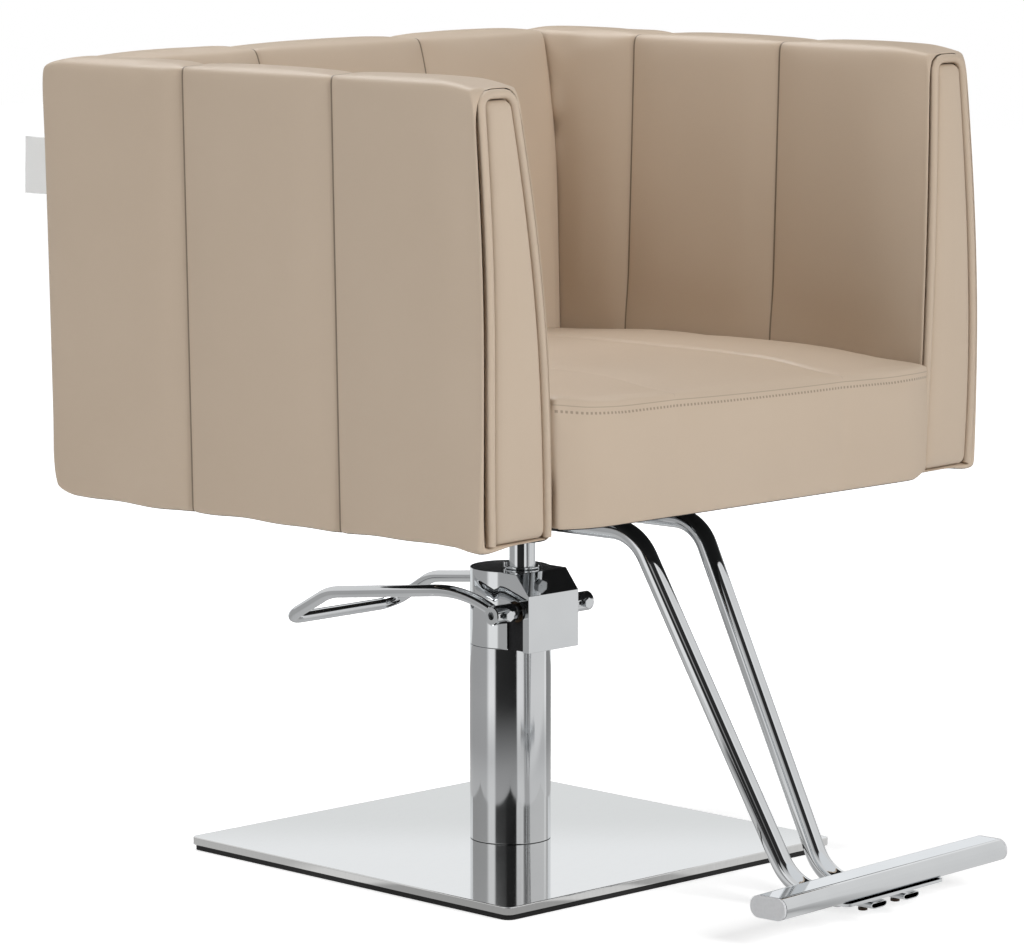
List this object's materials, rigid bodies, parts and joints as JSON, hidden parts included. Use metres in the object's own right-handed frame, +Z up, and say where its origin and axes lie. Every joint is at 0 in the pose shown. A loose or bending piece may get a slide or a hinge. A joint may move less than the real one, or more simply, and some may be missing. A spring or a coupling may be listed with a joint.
{
  "type": "hydraulic salon chair",
  "caption": "Square tub salon chair in beige leather with channelled arms and back, on a hydraulic pump column with a square steel base, foot pedal and T footrest.",
  "frame": {"origin": "on the floor, under the axis of the piston rod, on which the seat lifts and swivels", "axes": "+Z up, -Y the way the seat faces, +X to the right when the chair is seen from its front"},
  "size_m": [0.7562, 0.7785, 0.7925],
  "materials": {
    "leather": "satin",
    "piped_leather": "satin",
    "chrome": "polished",
    "stainless": "satin",
    "steel": "satin",
    "black_steel": "satin",
    "cast_iron": "matte",
    "bronze": "satin",
    "rubber": "matte",
    "plywood": "matte",
    "grey_plastic": "satin",
    "white_cloth": "matte"
  },
  "bodies": {
    "base": {"base_plate": "stainless", "base_rubber": "rubber", "foot_screw_1": "steel", "foot_screw_2": "steel", "foot_screw_3": "steel", "foot_screw_4": "steel", "pump_cylinder": "steel", "column_sleeve": "chrome", "pump_head_cover": "chrome", "rod_guide": "steel", "rod_ring": "steel", "pump_block": "cast_iron", "left_shaft_bush": "bronze", "right_shaft_bush": "bronze", "plunger_spring": "steel"},
    "lift": {"piston": "steel", "piston_seal": "rubber"},
    "pedal": {"cross_shaft": "steel", "pump_cam": "steel", "pedal_lever": "chrome", "left_pedal_sleeve": "chrome", "right_pedal_sleeve": "chrome", "left_clamp_bolt": "chrome", "right_clamp_bolt": "chrome"},
    "plunger": {"pump_plunger": "steel"},
    "seat": {"left_arm": "leather", "right_arm": "leather", "back_pad": "leather", "seat_cushion": "leather", "left_arm_front": "leather", "right_arm_front": "leather", "left_arm_piping": "piped_leather", "right_arm_piping": "piped_leather", "piston_rod": "chrome", "left_footrest_tube": "chrome", "right_footrest_tube": "chrome", "footrest_bar": "chrome", "rod_nut": "steel", "seat_bracket": "steel", "bracket_bolt_1": "steel", "bracket_bolt_2": "steel", "bracket_bolt_3": "steel", "bracket_bolt_4": "steel", "left_front_footrest_bolt": "steel", "left_rear_footrest_bolt": "steel", "right_front_footrest_bolt": "steel", "right_rear_footrest_bolt": "steel", "footrest_plate": "steel", "left_bar_screw": "steel", "right_bar_screw": "steel", "swivel_hub": "black_steel", "seat_board": "plywood", "left_bar_cap": "grey_plastic", "right_bar_cap": "grey_plastic", "sewn_tag": "white_cloth"}
  },
  "joints": [
    {"name": "lift_slide", "type": "slide", "parent": "base", "child": "lift", "axis": [0, 0, 1], "range_m": [0, 0.15]},
    {"name": "seat_swivel", "type": "hinge", "parent": "lift", "child": "seat", "pos_m": [0, 0, 0], "axis": [0, 0, 1], "range_deg": [-140, 140]},
    {"name": "pedal_hinge", "type": "hinge", "parent": "base", "child": "pedal", "pos_m": [-0.00189, -0.02453, 0.2475], "axis": [-0.9971, 0.0767, 0], "range_deg": [0, 25], "stiffness_Nm_per_rad": 6, "springref_deg": -28.65},
    {"name": "plunger_slide", "type": "slide", "parent": "base", "child": "plunger", "axis": [0, 0, -1], "range_m": [0, 0.0027], "deforming": ["plunger_spring"]}
  ],
  "couplings": [
    {"joint": "plunger_slide", "follows": "pedal_hinge", "m_per_rad": 0.006}
  ]
}
